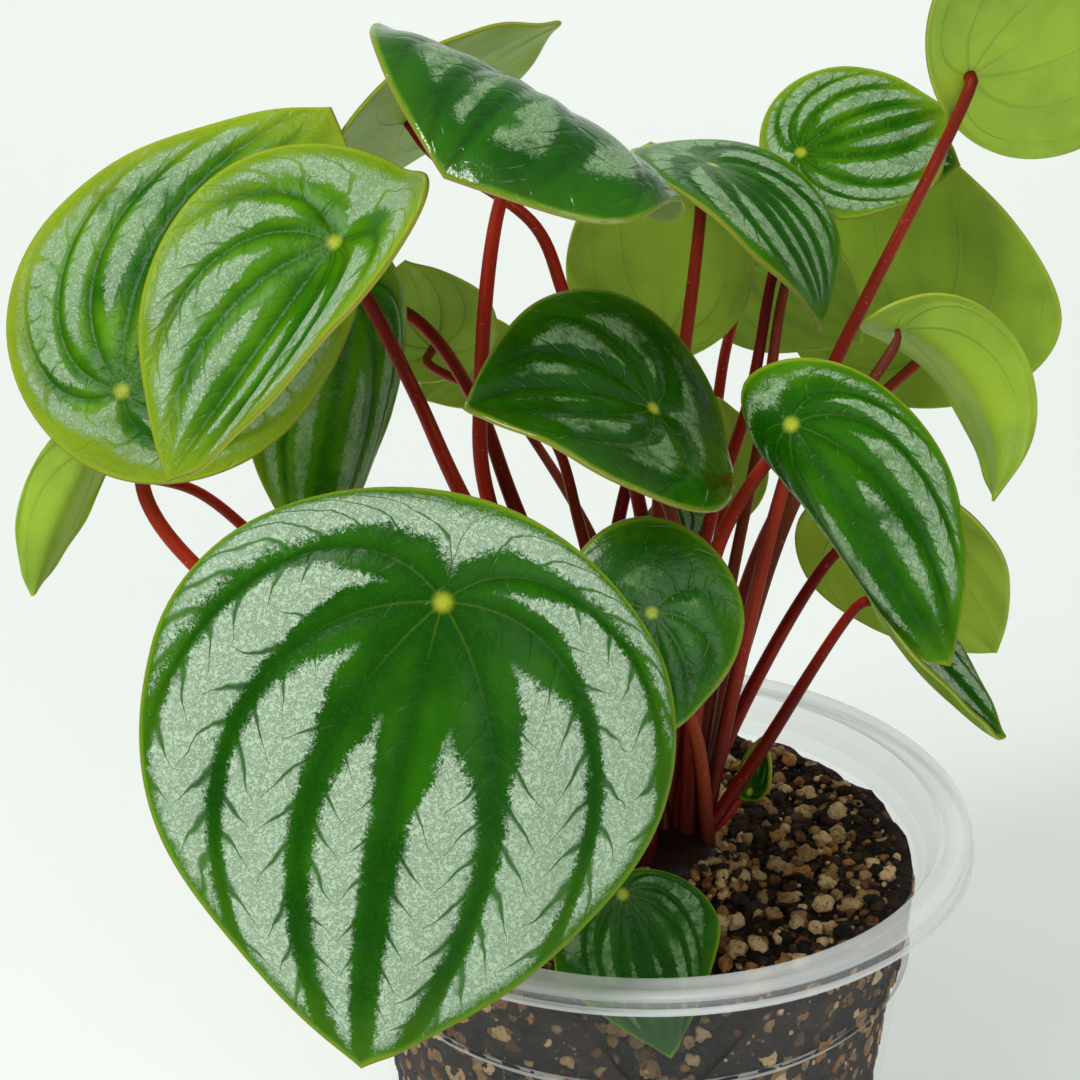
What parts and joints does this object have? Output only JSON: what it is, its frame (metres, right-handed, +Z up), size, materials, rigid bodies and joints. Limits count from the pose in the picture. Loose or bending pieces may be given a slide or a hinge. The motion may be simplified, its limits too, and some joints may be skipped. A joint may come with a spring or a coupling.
{
  "type": "potted house plant",
  "caption": "Bushy house plant with round shield-shaped leaves, dark green with silver bands, on long red stalks, in soil in a clear thin plastic pot with a wide flat rim",
  "frame": {"origin": "centre of the pot's underside, on the surface that the pot stands on", "axes": "+Z up; -Y towards the front, where the large leaf hangs over the rim; +X to the right seen from the front"},
  "size_m": [0.2137, 0.1606, 0.2849],
  "materials": {
    "pot": "gloss",
    "soil": "matte",
    "stalk": "satin",
    "leaf": "gloss"
  },
  "bodies": {
    "root": {"leaf_back_centre": "leaf", "leaf_back_left_lower": "leaf", "leaf_back_left_upper": "leaf", "leaf_back_middle": "leaf", "leaf_back_right": "leaf", "leaf_centre": "leaf", "leaf_centre_small": "leaf", "leaf_curled": "leaf", "leaf_front_large": "leaf", "leaf_in_pot": "leaf", "leaf_left_behind": "leaf", "leaf_left_folded": "leaf", "leaf_left_hanging": "leaf", "leaf_left_large": "leaf", "leaf_low_back": "leaf", "leaf_low_folded": "leaf", "leaf_right_behind": "leaf", "leaf_right_bent": "leaf", "leaf_right_front": "leaf", "leaf_right_striped": "leaf", "leaf_right_tall": "leaf", "leaf_small_dark": "leaf", "leaf_small_olive": "leaf", "leaf_top_back": "leaf", "leaf_top_draped": "leaf", "leaf_young": "leaf", "pot": "pot", "soil": "soil", "stems": "stalk"}
  },
  "joints": []
}
